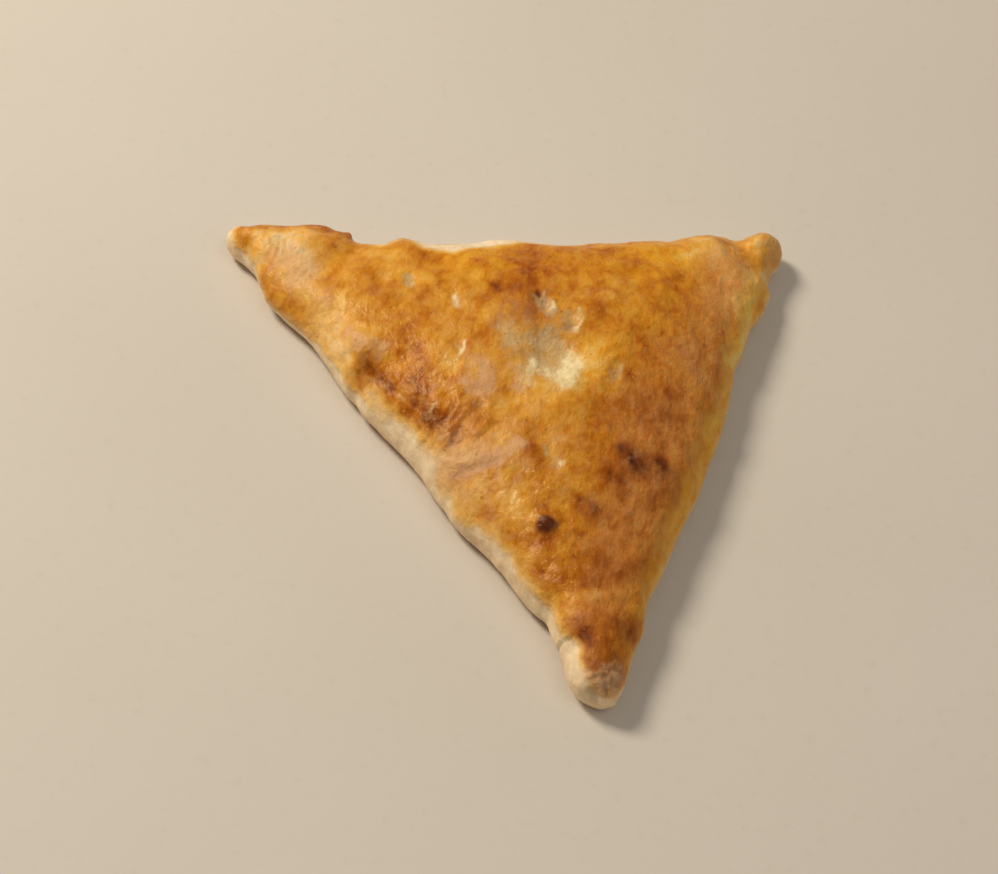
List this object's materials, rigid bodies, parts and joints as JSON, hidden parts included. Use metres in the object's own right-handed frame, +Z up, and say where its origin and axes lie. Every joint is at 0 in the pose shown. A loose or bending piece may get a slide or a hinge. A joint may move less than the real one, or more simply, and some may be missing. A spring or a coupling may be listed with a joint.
{
  "type": "chard pie",
  "caption": "Baked triangular chard pie: a closed, hand-folded bread parcel with a domed golden crust, thick pale edges and pinched corner knobs.",
  "frame": {"origin": "on the resting surface, under the middle of the bounding box", "axes": "+Z up, through the thickness; +X along the straight back edge, from the left knob to the right one; -Y towards the front knob"},
  "size_m": [0.1762, 0.1784, 0.0256],
  "materials": {
    "crust": "baked bread crust, golden brown and satin on top, pale cream and matt at the sides"
  },
  "bodies": {
    "root": {"pie": "crust"}
  },
  "joints": []
}
